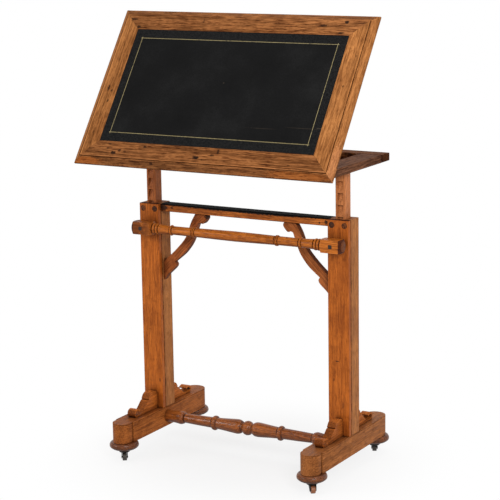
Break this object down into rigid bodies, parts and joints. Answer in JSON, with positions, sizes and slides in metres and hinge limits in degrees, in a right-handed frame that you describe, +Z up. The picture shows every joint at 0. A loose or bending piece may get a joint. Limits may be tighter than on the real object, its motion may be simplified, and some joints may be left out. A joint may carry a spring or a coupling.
{
  "type": "architects stand",
  "caption": "Oak drawing stand with a leather-lined board that tilts on an easel prop and rises on notched slides in box posts, on sledge feet with casters.",
  "frame": {"origin": "on the floor, under the middle of the overall box", "axes": "+Z up, +X along the board to the user's right, the user stands at -Y"},
  "size_m": [0.762, 0.4625, 1.1984],
  "materials": {
    "waxed_oak": "waxed oak, satin",
    "turned_oak": "turned oak, satin",
    "board_oak": "golden oak, satin",
    "dark_oak": "darkened oak, satin",
    "inner_pine": "bare pine, matt",
    "black_leather": "black, worn",
    "dark_iron": "blackened iron",
    "aged_brass": "dull brass",
    "caster_wheel": "tarnished brass"
  },
  "bodies": {
    "stand": {"cross_rail": "waxed_oak", "left_back_bun": "turned_oak", "left_back_caster_plate": "dark_iron", "left_back_console": "waxed_oak", "left_bracket": "waxed_oak", "left_foot": "waxed_oak", "left_front_bun": "turned_oak", "left_front_caster_plate": "dark_iron", "left_front_console": "waxed_oak", "left_post": "waxed_oak", "left_post_front": "waxed_oak", "left_post_inner_peg": "dark_oak", "left_post_outer_peg": "dark_oak", "rail_leather": "black_leather", "right_back_bun": "turned_oak", "right_back_caster_plate": "dark_iron", "right_back_console": "waxed_oak", "right_bracket": "waxed_oak", "right_foot": "waxed_oak", "right_front_bun": "turned_oak", "right_front_caster_plate": "dark_iron", "right_front_console": "waxed_oak", "right_post": "waxed_oak", "right_post_front": "waxed_oak", "right_post_inner_peg": "dark_oak", "right_post_outer_peg": "dark_oak", "stretcher": "turned_oak"},
    "board": {"board_back_member": "board_oak", "board_front_member": "board_oak", "board_leather": "black_leather", "board_left_member": "board_oak", "board_panel": "inner_pine", "board_right_member": "board_oak", "left_board_batten": "inner_pine", "left_hinge_upper_leaf": "aged_brass", "right_board_batten": "inner_pine", "right_hinge_upper_leaf": "aged_brass"},
    "left_back_caster": {"left_back_caster_fork": "dark_iron"},
    "left_back_wheel": {"left_back_caster_wheel": "caster_wheel"},
    "left_front_caster": {"left_front_caster_fork": "dark_iron"},
    "left_front_wheel": {"left_front_caster_wheel": "caster_wheel"},
    "top_frame": {"left_hinge_lower_leaf": "aged_brass", "left_slide": "waxed_oak", "right_hinge_lower_leaf": "aged_brass", "right_slide": "waxed_oak", "underframe_back_rail": "dark_oak", "underframe_front_rail": "dark_oak", "underframe_left_rail": "dark_oak", "underframe_right_rail": "dark_oak"},
    "pull_bar": {"left_lock_pin": "dark_iron", "pull_bar": "turned_oak", "right_lock_pin": "dark_iron"},
    "prop": {"left_prop_arm": "inner_pine", "prop_foot_rod": "inner_pine", "right_prop_arm": "inner_pine"},
    "right_back_caster": {"right_back_caster_fork": "dark_iron"},
    "right_back_wheel": {"right_back_caster_wheel": "caster_wheel"},
    "right_front_caster": {"right_front_caster_fork": "dark_iron"},
    "right_front_wheel": {"right_front_caster_wheel": "caster_wheel"}
  },
  "joints": [
    {"name": "bar_pull", "type": "slide", "parent": "stand", "child": "pull_bar", "axis": [0, 1, 0], "range_m": [-0.006, 0.0115]},
    {"name": "top_rise", "type": "slide", "parent": "stand", "child": "top_frame", "axis": [0, 0, 1], "range_m": [-0.0936, 0.156]},
    {"name": "board_tilt", "type": "hinge", "parent": "top_frame", "child": "board", "pos_m": [0, -0.21684, 0.8248], "axis": [1, 0, 0], "range_deg": [-54.4, 10.6]},
    {"name": "prop_swing", "type": "hinge", "parent": "board", "child": "prop", "pos_m": [0, -0.10915, 0.97522], "axis": [1, 0, 0], "range_deg": [-21.3, 108.9]},
    {"name": "left_front_swivel", "type": "hinge", "parent": "stand", "child": "left_front_caster", "pos_m": [-0.2885, -0.17444, 0.027], "axis": [0, 0, 1], "continuous": true},
    {"name": "left_front_roll", "type": "hinge", "parent": "left_front_caster", "child": "left_front_wheel", "pos_m": [-0.28248, -0.18305, 0.0105], "axis": [0.8192, 0.5736, 0], "continuous": true},
    {"name": "right_front_swivel", "type": "hinge", "parent": "stand", "child": "right_front_caster", "pos_m": [0.2885, -0.17444, 0.027], "axis": [0, 0, 1], "continuous": true},
    {"name": "right_front_roll", "type": "hinge", "parent": "right_front_caster", "child": "right_front_wheel", "pos_m": [0.29525, -0.18249, 0.0105], "axis": [0.766, 0.6428, 0], "continuous": true},
    {"name": "right_back_swivel", "type": "hinge", "parent": "stand", "child": "right_back_caster", "pos_m": [0.2885, 0.19156, 0.027], "axis": [0, 0, 1], "continuous": true},
    {"name": "right_back_roll", "type": "hinge", "parent": "right_back_caster", "child": "right_back_wheel", "pos_m": [0.28406, 0.20107, 0.0105], "axis": [-0.9063, -0.4226, 0], "continuous": true},
    {"name": "left_back_swivel", "type": "hinge", "parent": "stand", "child": "left_back_caster", "pos_m": [-0.2885, 0.19156, 0.027], "axis": [0, 0, 1], "continuous": true},
    {"name": "left_back_roll", "type": "hinge", "parent": "left_back_caster", "child": "left_back_wheel", "pos_m": [-0.29759, 0.19681, 0.0105], "axis": [-0.5, -0.866, 0], "continuous": true}
  ],
  "couplings": [
    {"joint": "prop_swing", "follows": "board_tilt", "ratio": -2}
  ]
}
